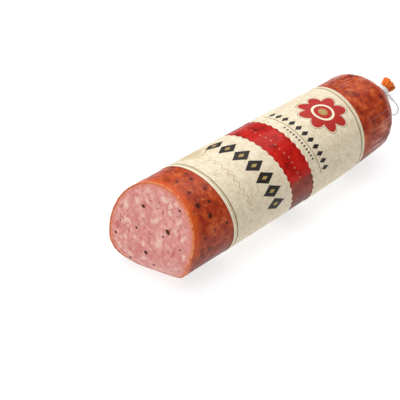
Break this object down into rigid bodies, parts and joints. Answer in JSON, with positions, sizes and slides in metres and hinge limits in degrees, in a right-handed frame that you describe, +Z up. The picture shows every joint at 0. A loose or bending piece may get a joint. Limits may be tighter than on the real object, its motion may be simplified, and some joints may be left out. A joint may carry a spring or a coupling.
{
  "type": "cured sausage",
  "caption": "Length of cured sausage, cut open at one end and tied with string at the other, in its casing with a cream label.",
  "frame": {"origin": "on the surface that the sausage lies on, under the middle of its length and width", "axes": "+X along the sausage from the cut end to the tied end, +Z up"},
  "size_m": [0.2154, 0.06, 0.0555],
  "materials": {
    "meat": "moist cut meat, satin",
    "casing": "glossy smoked casing",
    "label": "satin printed paper",
    "red_band": "glossy red film",
    "string": "white cotton string"
  },
  "bodies": {
    "root": {"sausage_meat": "meat", "casing": "casing", "label_front": "label", "label_rear": "label", "label_red_band": "red_band", "tie_string": "string", "string_loop": "string"}
  },
  "joints": []
}
